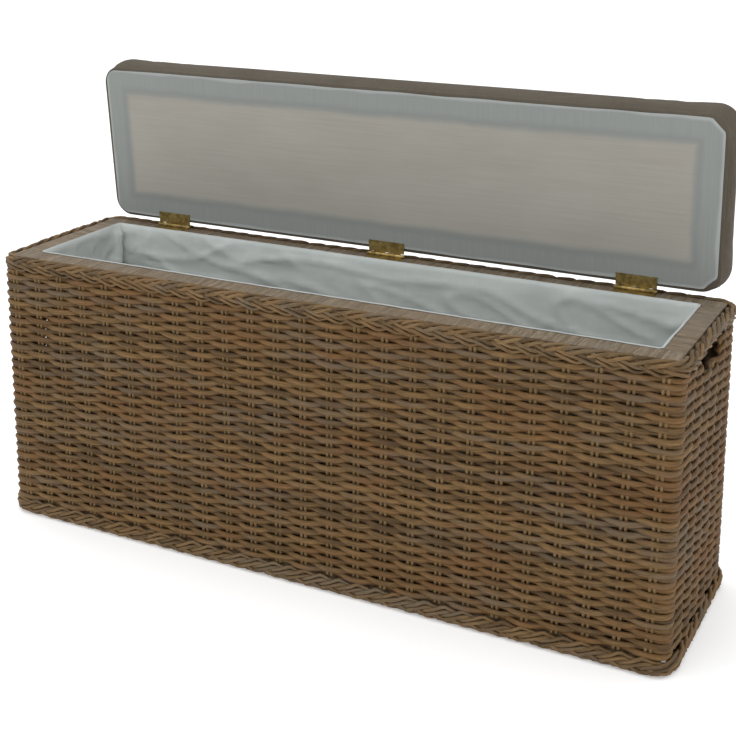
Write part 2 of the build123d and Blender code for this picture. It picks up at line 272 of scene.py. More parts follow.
def cloth_material(name, dark, light, thread, slub, rough):
    """Plain woven cloth: warp and weft threads of one pitch, slubs and soft blotches of tone."""
    g = Graph(name)
    place = g.attribute("cloth")
    band_scale = 3.1416
    count = 1 / thread / band_scale
    warp = g.wave(g.stretch(place, (count, 1, 1)), "X", band_scale, 0.15)
    weft = g.wave(g.stretch(place, (1, count, 1)), "Y", band_scale, 0.15)
    threads = g.total((warp, 0.5), (weft, 0.5))
    slubs = g.noise(place, (30, 700, 1), 3.0, 0.6)
    slubs_across = g.noise(place, (700, 30, 1), 3.0, 0.6)
    blotch = g.noise(place, (7, 7, 7), 4.0, 0.6)
    level = g.total((slubs, slub), (slubs_across, slub), (blotch, 0.6), (threads, 0.12))
    colour = g.mix(g.span(level, 0.3, 0.85), dark, light)
    normal = g.bump(threads, 0.5, 0.0003)
    normal = g.bump(g.math("ADD", slubs, slubs_across), 0.25, 0.0006, normal)
    return g.finish(colour, rough, normal, 0.15)


def brass_material():
    g = Graph("aged_brass")
    place = g.place()
    patina = g.noise(place, (90, 90, 90), 5.0, 0.65)
    brushed = g.noise(place, (60, 1800, 1800), 2.0)
    stops = [(0.35, (0.14, 0.10, 0.03)), (0.5, (0.29, 0.21, 0.075)), (0.68, (0.48, 0.36, 0.14))]
    colour = g.ramp(patina, stops)
    rough = g.span(patina, 0.3, 0.7, 0.55, 0.3)
    return g.finish(colour, rough, g.bump(brushed, 0.15, 0.0003), 0.5, 0.85)


LINER = cloth_material("liner_cloth", (0.49, 0.52, 0.50), (0.68, 0.71, 0.685), 0.0007, 0.12, 0.95)
COVER = cloth_material("upholstery", (0.046, 0.038, 0.028), (0.112, 0.094, 0.072), 0.0011, 0.35, 0.92)
# the hem on the rim is the liner's own cloth with painted shade: darker than the cloth in the well, so that
# its strip on the rim, lit from above, does not turn white
LINER_HEM_PAINTED_SHADE = cloth_material("liner_hem_painted_shade", (0.42, 0.44, 0.43), (0.56, 0.58, 0.57), 0.0007, 0.12, 0.95)
STAKES = rods_material()
TIMBER = timber_material("frame_timber", (0.20, 0.13, 0.07), (0.42, 0.30, 0.18), (18, 18, 3))
PLY = timber_material("plywood", (0.26, 0.18, 0.10), (0.48, 0.36, 0.22), (3, 22, 22))
BRASS = brass_material()


# ---- mesh helpers ----
def add_object(name, data):
    made = bpy.data.objects.new(name, data)
    bpy.context.scene.collection.objects.link(made)
    return made


def set_vectors(mesh, label, values):
    layer = mesh.attributes.new(label, "FLOAT_VECTOR", "POINT")
    layer.data.foreach_set("vector", np.ascontiguousarray(values, np.float32).ravel())


def new_piece(name, points, faces, material, body, replaced, attributes):
    """A mesh object from its corners and faces, riding on a body."""
    mesh = bpy.data.meshes.new(name)
    mesh.from_pydata(np.asarray(points).tolist(), [], faces)
    for label, values in attributes.items():
        set_vectors(mesh, label, values)
    mesh.shade_smooth()
    mesh.materials.append(material)
    piece = add_object(name, mesh)
    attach(piece, body)
    if replaced:
        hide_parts(*replaced)
    return piece


def grid_faces(strips, cells, wide):
    """Quads between rows of points, each row this many points wide. A full row of cells closes."""
    faces = []
    for j in range(strips):
        for i in range(cells):
            a, b = j * wide + i, j * wide + (i + 1) % wide
            faces.append([a, a + wide, b + wide, b])
    return faces


def rounded_outline(wide, deep, radius, steps=8):
    """Points round a rectangle with rounded corners, counter-clockwise from above."""
    outline = []
    for cx, cy, turn in ((1, -1, -90), (1, 1, 0), (-1, 1, 90), (-1, -1, 180)):
        for step in range(steps + 1):
            a = math.radians(turn + step * 90 / steps)
            x = cx * (wide / 2 - radius) + radius * math.cos(a)
            outline.append((x, cy * (deep / 2 - radius) + radius * math.sin(a)))
    return outline


def unit(vectors):
    return vectors / np.maximum(np.linalg.norm(vectors, axis=-1, keepdims=True), 1e-12)


def tube_rings(lines, radius, outward, flatness=1.0):
    """Rings of points round each line, an array of rods, points and three coordinates."""
    tangent = unit(np.gradient(lines, axis=1))
    first = unit(outward - (outward * tangent).sum(-1, keepdims=True) * tangent)
    second = np.cross(tangent, first)
    turn = np.arange(ROD_SIDES) * 2 * math.pi / ROD_SIDES
    across = flatness * first[:, :, None, :] * np.cos(turn)[:, None]
    upright = second[:, :, None, :] * np.sin(turn)[:, None]
    return lines[:, :, None, :] + radius[..., None, None] * (across + upright)


def tube_faces(rods, points):
    """The faces of a number of tubes, each of so many rings of points. Their ends stay open."""
    ring = np.arange(ROD_SIDES)
    after = (ring + 1) % ROD_SIDES
    start = (np.arange(points - 1) * ROD_SIDES)[:, None]
    quads = np.stack([start + ring, start + after, start + ROD_SIDES + after, start + ROD_SIDES + ring], -1)
    quads = quads.reshape(-1, 4)
    all_quads = (np.arange(rods) * points * ROD_SIDES)[:, None, None] + quads
    return all_quads.reshape(-1, 4).tolist()


def fibre_values(lines, radius, seeds):
    """Along and across coordinates for the fibres, in metres, moved apart for each rod."""
    steps = np.linalg.norm(np.diff(lines, axis=1), axis=-1)
    along = np.concatenate([np.zeros((len(lines), 1)), np.cumsum(steps, 1)], 1)
    turn = np.arange(ROD_SIDES) * 2 * math.pi / ROD_SIDES
    values = np.zeros((*lines.shape[:2], ROD_SIDES, 3))
    values[..., 0] = along[:, :, None] + seeds[:, None, None] * 3.0
    values[..., 1] = radius[:, :, None] * np.cos(turn) + seeds[:, None, None]
    values[..., 2] = radius[:, :, None] * np.sin(turn)
    return values


def looped(values):
    """Values round the basket, with the first of them again at the end."""
    return np.concatenate([values, values[:, :1]], 1)


def wrapped(values):
    """Values round the basket, running on past both ends by the overlap."""
    return np.concatenate([values[:, -OVERLAP:], values, values[:, :OVERLAP]], 1)


def spread_shade(shade):
    """Each point's tone, warmth and age, the same all round the rod."""
    return np.repeat(shade[:, :, None, :], ROD_SIDES, axis=2)


# ---- the basket's outline ----
foot_low, foot_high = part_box("foot_border_front")
border_low, border_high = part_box("top_border_front")
foot_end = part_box("foot_border_right")[1]
border_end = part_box("top_border_right")[1]
weave_low, weave_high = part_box("weave_front")
WEAVE_BOTTOM = weave_low.z
WEAVE_TOP = weave_high.z
RIM_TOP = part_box("rim_board_front")[1].z

# side: the first stake pair's number, how many pairs, their pitch, the way along the side and outward
SIDES = {
    "front": (0, 25, 0.045, Vector((1, 0, 0)), Vector((0, -1, 0))),
    "right": (25, 6, 0.044, Vector((0, 1, 0)), Vector((1, 0, 0))),
    "back": (31, 25, 0.045, Vector((-1, 0, 0)), Vector((0, 1, 0))),
    "left": (56, 6, 0.044, Vector((0, -1, 0)), Vector((-1, 0, 0))),
}
PAIRS = sum(count for _, count, *_ in SIDES.values())
CORNERS = [first + count - 0.5 for first, count, *_ in SIDES.values()]
# from the middle of each side to its last stake pair
LAST_PAIR = {side: (count - 1) / 2 * pitch for side, (_, count, pitch, _, _) in SIDES.items()}
MID_RADIUS = CORNER_RADIUS - WALL_MIDDLE
HALF_ARC = MID_RADIUS * math.pi / 4


def wall_half(height):
    """Half the basket's outside width and depth at a height."""
    share = np.clip(height, 0, border_low.z) / border_low.z
    wide = foot_end.x + (border_end.x - foot_end.x) * share
    deep = -foot_low.y - (border_low.y - foot_low.y) * share
    return wide, deep


def place(phase, height, inset, corner_push=0.0):
    """Points on the wall and the way out of it. phase counts stake pairs from the front's left end,
    inset is the depth below the basket's outside, and corner_push is taken off it at the corners."""
    phase, height, inset = np.broadcast_arrays(phase, height, inset)
    wide, deep = wall_half(height)
    run = {"front": wide, "back": wide, "right": deep, "left": deep}
    out = {"front": deep, "back": deep, "right": wide, "left": wide}
    corner_gap = wide + deep - 2 * CORNER_RADIUS + 2 * HALF_ARC - LAST_PAIR["front"] - LAST_PAIR["right"]
    points = np.zeros((*phase.shape, 3))
    outward = np.zeros((*phase.shape, 3))
    for side, (first, count, pitch, along, away) in SIDES.items():
        local = np.mod(phase - first + 1, PAIRS) - 1
        end = LAST_PAIR[side]
        u = -end + local * pitch
        u = np.where(local < 0, -end + local * corner_gap, u)
        u = np.where(local > count - 1, end + (local - count + 1) * corner_gap, u)
        straight = run[side] - CORNER_RADIUS
        here = (np.abs(u) <= straight + HALF_ARC + 0.002) & (local < count)
        bend = np.maximum(np.abs(u) - straight, 0) / MID_RADIUS
        sign = np.sign(u)
        radius = CORNER_RADIUS - inset + corner_push * np.sin(2 * np.minimum(bend, math.pi / 4)) ** 2
        u_place = sign * (np.minimum(np.abs(u), straight) + radius * np.sin(bend))
        v_place = out[side] - CORNER_RADIUS + radius * np.cos(bend)
        spot = u_place[..., None] * np.array(along) + v_place[..., None] * np.array(away)
        way = (sign * np.sin(bend))[..., None] * np.array(along) + np.cos(bend)[..., None] * np.array(away)
        points = np.where(here[..., None], spot, points)
        outward = np.where(here[..., None], way, outward)
    points[..., 2] = height
    return points, outward


def mitre_phases(height):
    """The phases of the four corners' mitres at a height, with the front's left one at both ends."""
    wide, deep = wall_half(height)
    front_run = wide - CORNER_RADIUS + HALF_ARC - LAST_PAIR["front"]
    end_run = deep - CORNER_RADIUS + HALF_ARC - LAST_PAIR["right"]
    share = front_run / (front_run + end_run)
    _, right, back, left = (first for first, *_ in SIDES.values())
    return [-share, right - 1 + share, back - share, left - 1 + share, PAIRS - share]


def phases_between(mitres, steps):
    """Phases round the basket from mitre to mitre, with each side's number of steps."""
    spans = zip(mitres, mitres[1:], steps.values())
    return np.concatenate([np.linspace(start, end, count, endpoint=False) for start, end, count in spans])


def ripple(phase, rows, harmonics, size):
    """Smooth random waves round the basket, one for each row."""
    angle = phase * 2 * math.pi / PAIRS
    total = np.zeros(np.broadcast_shapes(phase.shape, (rows, 1)))
    for harmonic in harmonics:
        strength = random.uniform(0.4, 1.0, (rows, 1)) * size / len(harmonics) ** 0.5
        total = total + strength * np.sin(harmonic * angle + random.uniform(0, 2 * math.pi, (rows, 1)))
    return total


def splice_shade(phase, rows):
    """Tone, warmth and age of each row's weaver, changing where a new cane starts."""
    shortest, longest = 12, 38  # stake pairs that one cane passes
    values = np.zeros((rows, phase.shape[-1], 3))
    for row in range(rows):
        at = random.uniform(0, 30)
        cuts = [at]
        while cuts[-1] < at + PAIRS - shortest:
            cuts.append(cuts[-1] + random.uniform(shortest, longest))
        kinds = random.uniform(0, 1, (len(cuts) + 1, 3))
        local = np.mod(phase[row] if phase.ndim > 1 else phase, PAIRS)
        local = np.where(local < at, local + PAIRS, local)
        values[row] = kinds[np.searchsorted(cuts, local)]
    return values


# ---- woven walls ----
row_pitch = (WEAVE_TOP - WEAVE_BOTTOM) / ROWS
row_heights = WEAVE_BOTTOM + (np.arange(ROWS) + 0.5) * row_pitch
side_steps = {
    side: count * COLUMN_STEPS + (END_EXTRA_STEPS if side in ("right", "left") else 0)
    for side, (_, count, *_) in SIDES.items()
}

phases = np.array([phases_between(mitre_phases(height), side_steps) for height in row_heights])


def swing(phase, row):
    """How far out of the wall's middle a weaver is: in front of every other stake pair, and turning
    back more gently round the corners, which lie half way between two pairs."""
    from_corner = np.min([np.abs(np.mod(phase - c + PAIRS / 2, PAIRS) - PAIRS / 2) for c in CORNERS], axis=0)
    nearness = np.exp(-((from_corner / 0.6) ** 2))
    stiffness = 1.3 - nearness
    reach = WEAVER_SWING * (1 - 0.4 * nearness)
    return reach * np.tanh(stiffness * np.cos(math.pi * (phase + row))) / np.tanh(stiffness)


def weaver_radius(offset):
    """Half a weaver's upright thickness, from how far it is out of the wall's middle."""
    share = np.clip(offset / WEAVER_SWING, -1, 1)
    return CROSSING_RADIUS + np.where(share > 0, (BULGE_RADIUS - CROSSING_RADIUS) * share,
                                      (CROSSING_RADIUS - BACK_RADIUS) * share)


row_numbers = np.arange(ROWS)[:, None]
row_lines = row_heights[:, None]
angles = phases * 2 * math.pi / PAIRS
# rows rise and fall together, least at the foot and under the top border
shared_wander = 0.0016 * np.sin(5 * angles + row_lines * 9)
shared_wander += 0.0012 * np.sin(11 * angles - row_lines * 14 + 1.0)
shared_wander += 0.0007 * np.sin(31 * angles + row_lines * 31 + 2.0)
edge_fade = np.sin(np.clip((row_lines - WEAVE_BOTTOM) / (WEAVE_TOP - WEAVE_BOTTOM), 0, 1) * math.pi)
wander = ripple(phases, ROWS, (7, 13, 19, 29, 41), 0.0007) + shared_wander * edge_fade
depth = swing(phases, row_numbers) * (1 + ripple(phases, ROWS, (23, 37, 53), 0.12))
row_points, row_outward = place(phases, row_lines + wander, WALL_MIDDLE - depth, CORNER_PUSH)
row_radius = weaver_radius(depth) * (1 + ripple(phases, ROWS, (9, 17, 31, 45), 0.07))
row_radius = row_radius * random.uniform(0.92, 1.07, (ROWS, 1))
row_shade = splice_shade(phases, ROWS)
row_seeds = random.uniform(0, 20, ROWS)


def round_basket(values, begin, steps):
    """A side's share of points round the basket, and one more past each of its mitres."""
    return values[:, np.arange(begin - 1, begin + steps + 2) % values.shape[1]]


def side_share(values, begin, steps):
    """The same for tones and fibres, which hold the first point again at their end."""
    return values[:, np.clip(np.arange(begin - 1, begin + steps + 2), 0, values.shape[1] - 1)]


def tucked(ring_set, centres):
    """Draws the first and last rings in, to lie inside the next side's rods."""
    for end in (0, -1):
        ring_set[:, end] = centres[:, end, None] + (ring_set[:, end] - centres[:, end, None]) * 0.85
    return ring_set


wrapped_rows = [wrapped(values) for values in (row_points, row_radius, row_outward)]
rings = tube_rings(*wrapped_rows, WEAVER_FLATNESS)[:, OVERLAP:-OVERLAP]
fibres = fibre_values(looped(row_points), looped(row_radius), row_seeds)
shades = spread_shade(looped(row_shade))

HOLE_ROWS = [int(r) for r in np.nonzero(row_heights > HOLE_BOTTOM)[0]]


def row_at(values, row, phase):
    """A row's own values at other phases. A row above the last one copies the last but one."""
    row = row if row < ROWS else ROWS - 2
    return np.interp(phase, phases[row], values[row])


def turned_back_rows(side):
    """The rows beside a hand hole, taken two by two and turned back round the last stake pair."""
    first, count, pitch, _, _ = SIDES[side]
    mitres = mitre_phases(row_heights[-1])
    start, end = (mitres[1], mitres[2]) if side == "right" else (mitres[3], mitres[4])
    lines, outs, radii, tones = [], [], [], []
    nose_steps = 7
    blend = np.linspace(0, 1, nose_steps + 2)[1:-1]
    beta = blend * math.pi
    for low_row in HOLE_ROWS[::2]:
        high_row = low_row + 1
        for far, column in ((start, first + 1), (end, first + count - 2)):
            onward = 1 if far == start else -1
            in_front = 1 if (column + low_row) % 2 == 0 else -1
            run = np.linspace(far, column, 15)
            back = run[::-1]
            nose = column + onward * NOSE_REACH * np.sin(beta) / pitch
            heading = np.cos(beta) * in_front * WEAVER_SWING
            phase = np.concatenate([run, nose, back])
            offset = np.concatenate([row_at(depth, low_row, run), heading, row_at(depth, high_row, back)])
            low_line = row_heights[low_row] + row_at(wander, low_row, run)
            high_line = row_heights[low_row] + row_pitch + row_at(wander, high_row, back)
            rise = low_line[-1] + (high_line[0] - low_line[-1]) * blend
            height = np.concatenate([low_line, rise, high_line])
            spot, out = place(phase, height, WALL_MIDDLE - offset, CORNER_PUSH)
            lines.append(spot)
            outs.append(out)
            radii.append(np.concatenate([
                row_at(row_radius, low_row, run), np.full(nose_steps, CROSSING_RADIUS),
                row_at(row_radius, high_row, back),
            ]))
            tones.append(np.stack([row_at(row_shade[..., k], low_row, phase) for k in range(3)], -1))
    return np.array(lines), np.array(outs), np.array(radii), np.array(tones)


start_at = 0
for side, steps in side_steps.items():
    has_hole = side in ("left", "right")
    rows = HOLE_ROWS[0] if has_hole else ROWS
    side_rings = tucked(round_basket(rings, start_at, steps), round_basket(row_points, start_at, steps))
    corners = side_rings[:rows].reshape(-1, 3)
    faces = tube_faces(rows, steps + 3)
    fibre = side_share(fibres, start_at, steps)[:rows].reshape(-1, 3)
    shade = side_share(shades, start_at, steps)[:rows].reshape(-1, 3)
    if has_hole:
        lines, outs, radii, tones = turned_back_rows(side)
        extra = tube_rings(lines, radii, outs, WEAVER_FLATNESS)
        offset = len(corners)
        faces += [[i + offset for i in f] for f in tube_faces(len(lines), lines.shape[1])]
        corners = np.concatenate([corners, extra.reshape(-1, 3)])
        seeds = random.uniform(0, 20, len(lines))
        fibre = np.concatenate([fibre, fibre_values(lines, radii, seeds).reshape(-1, 3)])
        shade = np.concatenate([shade, spread_shade(tones).reshape(-1, 3)])
    new_piece(f"woven_wall_{side}", corners, faces, WEAVE, "basket",
              [f"weave_{side}"], {"fibre": fibre, "shade": shade})
    start_at += steps


# ---- plaited borders ----
def bent_path(corners, radius):
    """A polyline of insets and heights with its corners rounded, as evenly spaced points."""
    corners = [np.array(c) for c in corners]
    path = [corners[0]]
    for before, corner, after in zip(corners, corners[1:], corners[2:]):
        start = corner + unit(before - corner) * radius
        stop = corner + unit(after - corner) * radius
        for t in np.linspace(0, 1, 9):
            path.append(start * (1 - t) ** 2 + corner * 2 * t * (1 - t) + stop * t * t)
    path.append(corners[-1])
    path = np.array(path)
    run = np.concatenate([[0], np.cumsum(np.linalg.norm(np.diff(path, axis=0), axis=1))])
    even = np.linspace(0, run[-1], 60)
    return np.stack([np.interp(even, run, path[:, k]) for k in (0, 1)], 1), run[-1]


def plait(label, corners, bend, clockwise, squeeze, node_stem, spine):
    """A herringbone plait of rods in pairs round the basket. Its strands cross from one end of a
    bent path of insets and heights to the other, over in the half they come from."""
    path, length = bent_path(corners, bend)
    slope = unit(np.gradient(path, axis=0))
    away = np.stack([-slope[:, 1], slope[:, 0]], 1) * clockwise
    at = np.linspace(0, 1, len(path))
    pointed = 0.97  # nearly 1, for a zigzag with barely rounded points
    crisp = 2.5  # how sharply a strand passes from over to under
    steps_per_turn = 26
    count = PLAIT_TURNS * steps_per_turn
    mitres = mitre_phases(path[:, 1].mean())
    counts = {side: round(count * (mitres[k + 1] - mitres[k]) / PAIRS) for k, side in enumerate(SIDES)}
    phase = phases_between(mitres, counts)
    angle = phase * 2 * math.pi / PAIRS
    lines, outs, radii, kinds = [], [], [], []
    for strand in range(PLAIT_STRANDS):
        t = 2 * math.pi * (PLAIT_TURNS * phase / PAIRS + strand / PLAIT_STRANDS)
        # the strands keep an uneven pace
        t = t + 0.16 * np.sin(7 * angle + strand) + 0.10 * np.sin(19 * angle + 2 * strand)
        zigzag = np.arcsin(pointed * np.sin(t)) / math.asin(pointed)
        lift = PLAIT_LIFT * np.tanh(crisp * np.sin(2 * t)) / math.tanh(crisp)
        for rod in (-1, 1):
            half = 0.5 - 2.0 * PLAIT_ROD / length
            share = (0.5 + half * zigzag + rod * 1.12 * PLAIT_ROD / length) ** spine
            inset, height, out_in, out_up = (
                np.interp(share, at, values) for values in (path[:, 0], path[:, 1], away[:, 0], away[:, 1])
            )
            height = height + lift * out_up
            if squeeze:
                height = squeezed(phase, height)
            spot, out = place(phase, height, inset + lift * out_in)
            lines.append(spot)
            outs.append(-out_in[:, None] * out + out_up[:, None] * np.array((0, 0, 1.0)))
            radii.append(PLAIT_ROD * (1 + 0.08 * np.sin(13 * angle + rod + strand * 2)))
            kinds.append(splice_shade(phase, 1)[0])
    lines, outs, radii, kinds = (np.array(a) for a in (lines, outs, radii, kinds))
    ring_set = tube_rings(*(wrapped(values) for values in (lines, radii, outs)))[:, OVERLAP:-OVERLAP]
    seeds = random.uniform(0, 20, len(lines))
    fibre_set = fibre_values(looped(lines), looped(radii), seeds)
    shade_set = spread_shade(looped(kinds))
    begin = 0
    for side, steps in counts.items():
        part_rings = tucked(round_basket(ring_set, begin, steps), round_basket(lines, begin, steps))
        new_piece(
            f"{label}_{side}", part_rings.reshape(-1, 3), tube_faces(len(lines), steps + 3), PLAIT,
            "basket", [f"{node_stem}_{side}"],
            {"fibre": side_share(fibre_set, begin, steps).reshape(-1, 3),
             "shade": side_share(shade_set, begin, steps).reshape(-1, 3)},
        )
        begin += steps


def squeezed(phase, height):
    """Lifts the top border's lower edge over the hand holes."""
    kept = (border_high.z - HOLE_TOP) / (border_high.z - border_low.z)
    for side in ("right", "left"):
        first, pairs, pitch, _, _ = SIDES[side]
        along = np.abs(np.mod(phase, PAIRS) - first - (pairs - 1) / 2) * pitch
        nearness = np.clip((HOLE_HALF + HOLE_FADE - along) / HOLE_FADE, 0, 1)
        nearness = nearness * nearness * (3 - 2 * nearness)
        height = border_high.z - (border_high.z - height) * (1 - (1 - kept) * nearness)
    return height


room = PLAIT_ROD + PLAIT_LIFT  # from a plait's middle to its face
top_edge = border_high.z - room
low_edge = border_low.z + 0.003
plait(
    "plaited_top", [(0.0085, low_edge), (room, low_edge), (room, top_edge), (0.0145, top_edge)],
    bend=0.005, clockwise=1, squeeze=True, node_stem="top_border", spine=0.8,
)
foot_face = room - FOOT_PROUD
foot_edge = foot_high.z - 0.002
plait(
    "plaited_foot", [(0.007, foot_edge), (foot_face, foot_edge), (foot_face, room), (0.018, room)],
    bend=0.005, clockwise=-1, squeeze=False, node_stem="foot_border", spine=1.0,
)


# ---- flat rim bound with cane ----
def cane_binding(side, along_axis):
    """Flat cane wrapped across a rim board, strip by strip."""
    node = f"rim_board_{side}"
    low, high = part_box(node)
    across_axis = 1 - along_axis
    run_low, run_high = low[along_axis], high[along_axis]
    half = (high[across_axis] - low[across_axis]) / 2
    middle = (high[across_axis] + low[across_axis]) / 2
    depth = high.z - low.z
    corner = 0.002
    turns = (0.5, 1.0, math.pi / 2)
    # the way round the board: up the one edge, over the top and down the other
    path = [(-half, -depth), (-half, -corner)]
    path += [(-half + corner * (1 - math.cos(a)), corner * (math.sin(a) - 1)) for a in turns]
    path += [(x, 0.0) for x in np.linspace(-half + corner, half - corner, 7)[1:-1]]
    path += [(-x, z) for x, z in path[:5][::-1]]
    path = np.array(path)
    slope = unit(np.gradient(path, axis=0))
    normal = np.stack([-slope[:, 1], slope[:, 0]], 1)
    profile = [(-0.5, -0.0001), (-0.32, 0.8), (0.0, 1.0), (0.32, 0.8), (0.5, -0.0001)]
    count = int(round((run_high - run_low) / CANE_WIDTH))
    pitch = (run_high - run_low) / count
    points, faces, fibre, shade = [], [], [], []
    for strip in range(count):
        centre = run_low + (strip + 0.5) * pitch
        lean = random.normal(0, 0.012)
        crown = CANE_CROWN * random.uniform(0.7, 1.2)
        kind = np.clip(random.normal((0.5, 0.45, 0.6), 0.22), 0, 1)
        seed = random.uniform(0, 20)
        base = len(points)
        for spot, out in zip(path, normal):
            for share, height in profile:
                cross = spot + out * crown * max(height, 0.0)
                x = centre + share * pitch + lean * spot[0]
                x = min(max(x, run_low), run_high)
                y = middle + cross[0]
                z = high.z + cross[1]
                points.append((x, y, z) if along_axis == 0 else (y, x, z))
                fibre.append((seed + spot[0] + spot[1], seed + share * pitch, 0))
                shade.append(kind)
        wide = len(profile)
        for i in range(len(path) - 1):
            for j in range(wide - 1):
                a = base + i * wide + j
                quad = [a, a + 1, a + wide + 1, a + wide]
                faces.append(quad[::-1] if along_axis == 0 else quad)
    new_piece(f"cane_binding_{side}", points, faces, CANE, "basket", (),
              {"fibre": fibre, "shade": shade})


for side, along_axis in (("front", 0), ("back", 0), ("left", 1), ("right", 1)):
    cane_binding(side, along_axis)


# ---- liner ----
def fold(x, y, z, seed):
    return noise.noise(Vector((x + seed, y - 0.7 * seed, z + 2.3 * seed)))


def crease(value, sharpness):
    """One where a noise value crosses zero, and falling to none on both sides."""
    return max(0.0, 1.0 - abs(value) * sharpness) ** 1.6


def liner_dent(x, y, z, depth, from_corner):
    """How far the bag's wall falls in from the well's wall."""
    loose = 0.0030 * (0.5 + 0.5 * fold(x * 5, y * 5, z * 13, 1.0))
    long_folds = 0.0036 * crease(fold(x * 3.5, y * 6, z * 26 + 1.4 * fold(x * 4, y, 0, 8.0), 4.0), 5.0)
    slanted = 0.0034 * crease(fold(x * 9 + z * 17, y * 9 + z * 12, z * 8, 6.0), 6.0)
    fine = 0.0012 * abs(fold(x * 45, y * 45, z * 60, 9.0))
    at_corner = max(0.0, 1.0 - from_corner / 0.13)
    spread = 26 * depth / (from_corner + 0.03)
    rays = 0.005 * at_corner * crease(fold(from_corner * 12, depth * 8, spread, 3.0), 3.0)
    pleat_at, pleat_width = 0.008 + 0.22 * depth, 0.004 + 0.06 * depth
    pleat = 0.010 * math.exp(-(((from_corner - pleat_at) / pleat_width) ** 2))
    grow = min(1.0, depth / 0.014)
    return 0.0014 + grow * (loose + long_folds + slanted + fine + rays + pleat)


def build_liner():
    """The cloth bag in the well: one sheet, loosely wrinkled, with its hem turned over the rim."""
    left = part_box("liner_left")[0].x
    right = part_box("liner_right")[1].x
    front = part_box("liner_front")[0].y
    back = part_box("liner_back")[1].y
    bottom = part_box("liner_bottom")[0].z
    half_x, half_y = (right - left) / 2, (back - front) / 2
    middle = Vector(((left + right) / 2, (front + back) / 2, 0))
    cell = 0.0062
    outline = rounded_outline(2 * half_x, 2 * half_y, 0.004, 4)
    closed = np.array(outline + outline[:1])
    lengths = np.linalg.norm(np.diff(closed, axis=0), axis=1)
    total = lengths.sum()
    around = int(total / cell)
    run = np.concatenate([[0], np.cumsum(lengths)])
    at = np.interp(np.arange(around) / around * total, run, np.arange(len(closed)))
    ring = np.stack([np.interp(at, np.arange(len(closed)), closed[:, k]) for k in (0, 1)], 1)
    way = unit(np.roll(ring, -1, 0) - np.roll(ring, 1, 0))
    outward = np.stack([way[:, 1], -way[:, 0]], 1)
    drop = RIM_TOP - bottom - BAG_TURN
    rows = int(drop / cell)
    hem_shares = (0.0, 0.3, 0.65, 1.0)
    levels = [("hem", share) for share in hem_shares]
    levels += [("wall", step / rows) for step in range(1, rows + 1)]
    levels += [("turn", share) for share in (0.33, 0.66, 1.0)]
    points, cloth = [], []
    for kind, share in levels:
        for i in range(around):
            x, y = ring[i]
            ox, oy = outward[i]
            arc = i / around * total
            if kind == "hem":
                wide = HEM_WIDTH * (1 + 0.5 * fold(x * 25, y * 25, 0, 8.0))
                reach = wide * (1 - share) - 0.0014 * share
                puff = 0.0008 + 0.0010 * math.sin(share * math.pi)
                puff += 0.0007 * abs(fold(x * 40, y * 40, 2, 3.0))
                x, y = x + ox * reach, y + oy * reach
                z = RIM_TOP + puff
                depth = -(1 - share) * wide
            elif kind == "wall":
                depth = share * drop
                z = RIM_TOP - depth
                # the left end's back corner is pleated, and less deeply the walls beside the left end
                from_corner = abs(y - half_y) if x < -half_x + 0.01 else abs(x + half_x) + 0.03
                dent = liner_dent(x, y, z, depth, from_corner)
                slump = math.sin(math.pi * min(1.0, depth / 0.030)) * (0.7 + 0.5 * fold(x, y * 30, 0, 5.0))
                dent += END_SLUMP * slump * max(ox, 0.0)
                x, y = x - ox * dent, y - oy * dent
            else:
                angle = share * math.pi / 2
                inset = BAG_TURN * (1 - math.cos(angle)) + 0.003
                x, y = x - ox * inset, y - oy * inset
                z = bottom + BAG_TURN * (1 - math.sin(angle)) + BAG_LIFT
                depth = drop + share * 1.5 * BAG_TURN
            points.append((middle.x + x, middle.y + y, z))
            cloth.append((arc, depth, 0))
    # the bottom: rings that shrink to the middle line
    last = (len(levels) - 1) * around
    centre_rings = 6
    for step in range(1, centre_rings + 1):
        share = step / centre_rings * 0.98
        for i in range(around):
            px, py, _ = points[last + i]
            x = px * (1 - share * 0.2)
            y = middle.y + (py - middle.y) * (1 - share)
            z = bottom + BAG_LIFT + 0.004 * abs(fold(x * 8, y * 8, 0, 2.0))
            points.append((x, y, z))
            cloth.append((x, y, 1))
    faces = grid_faces(len(levels) - 1 + centre_rings, around, around)
    liner = new_piece(
        "cloth_liner", points, faces, LINER, "basket",
        ["liner_front", "liner_back", "liner_left", "liner_right", "liner_bottom"], {"cloth": cloth},
    )
    # the hem's faces take the darker hem cloth, painted shade for their top-lit strip on the rim
    liner.data.materials.append(LINER_HEM_PAINTED_SHADE)
    for polygon in liner.data.polygons[: (len(hem_shares) - 1) * around]:
        polygon.material_index = 1
    return liner


liner = build_liner()

# ---- the lid's own frame ----
hinge = Vector(frame["joints"][0]["pos_m"])
lid_out = Vector((0, math.sin(OPEN_ANGLE), math.cos(OPEN_ANGLE)))  # through the thickness
lid_up = Vector((0, -math.cos(OPEN_ANGLE), math.sin(OPEN_ANGLE)))  # from the hinge to the free edge
LID = Matrix((
    (1, 0, 0, hinge.x),
    (0, lid_up.y, lid_out.y, hinge.y + lid_out.y * LEAF_DROP),
    (0, lid_up.z, lid_out.z, hinge.z + lid_out.z * LEAF_DROP),
    (0, 0, 0, 1),
))


def add_rings(work, profile, corner_radius, closed=False):
    """Joins rounded rectangles, at a profile's heights and insets, into a skin round the lid."""
    rings_made = []
    for z, inset in profile:
        outline = rounded_outline(LID_WIDTH - 2 * inset, LID_DEPTH - 2 * inset, corner_radius(inset))
        rings_made.append([work.verts.new((x, LID_MIDDLE + y, z)) for x, y in outline])
    if closed:
        rings_made.append(rings_made[0])
    for lower, upper in zip(rings_made, rings_made[1:]):
        for i in range(len(lower)):
            j = (i + 1) % len(lower)
            work.faces.new((lower[i], lower[j], upper[j], upper[i]))
    return rings_made


